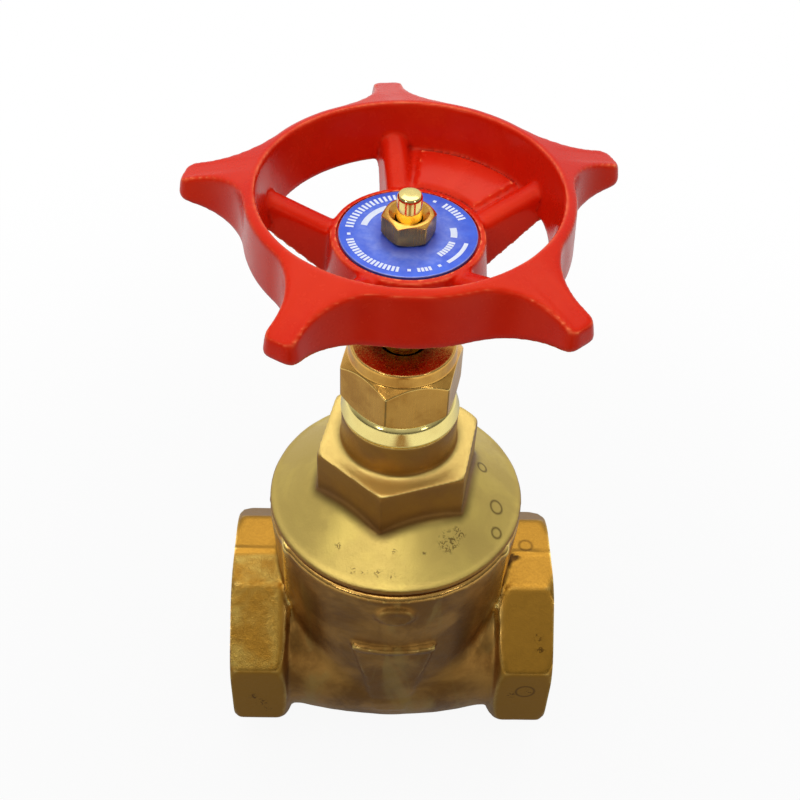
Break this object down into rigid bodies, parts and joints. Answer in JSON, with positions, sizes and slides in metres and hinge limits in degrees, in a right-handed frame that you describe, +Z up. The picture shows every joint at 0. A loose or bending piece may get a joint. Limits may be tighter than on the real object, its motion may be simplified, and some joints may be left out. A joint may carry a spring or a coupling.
{
  "type": "gate valve",
  "caption": "Bronze gate valve with octagonal pipe ends, screwed hexagon bonnet, brass packing nut and a red lobed handwheel; turning the wheel lifts the wedge inside.",
  "frame": {"origin": "on the stem's axis, in the plane of the flats that the valve rests on", "axes": "+Z up along the stem towards the handwheel, +X along the pipe towards the outlet, -Y towards the side with the raised shield"},
  "size_m": [0.0916, 0.0899, 0.1706],
  "materials": {
    "cast_bronze": "sand-cast, dull, tumbled",
    "turned_brass": "turned, bright",
    "graphite_packing": "braided graphite, matt",
    "gasket_fibre": "pressed fibre, matt",
    "red_paint": "gloss enamel over die casting",
    "blue_plate": "printed aluminium, satin"
  },
  "bodies": {
    "valve_body": {"body": "cast_bronze", "bonnet": "cast_bronze", "bonnet_gasket": "gasket_fibre", "stuffing_box": "turned_brass", "packing_ring_1": "graphite_packing", "packing_ring_2": "graphite_packing", "packing_ring_3": "graphite_packing", "packing_ring_4": "graphite_packing", "gland_follower": "turned_brass", "packing_nut": "turned_brass"},
    "handwheel": {"stem": "turned_brass", "handwheel": "red_paint", "id_plate": "blue_plate", "wheel_nut": "turned_brass"},
    "wedge": {"wedge": "cast_bronze"}
  },
  "joints": [
    {"name": "handwheel_turn", "type": "hinge", "parent": "valve_body", "child": "handwheel", "pos_m": [0, 0, 0.158], "axis": [0, 0, 1], "range_deg": [0, 4716]},
    {"name": "wedge_lift", "type": "slide", "parent": "valve_body", "child": "wedge", "axis": [0, 0, 1], "range_m": [0, 0.0394]}
  ],
  "couplings": [
    {"joint": "wedge_lift", "follows": "handwheel_turn", "m_per_rad": 0.00047746}
  ]
}
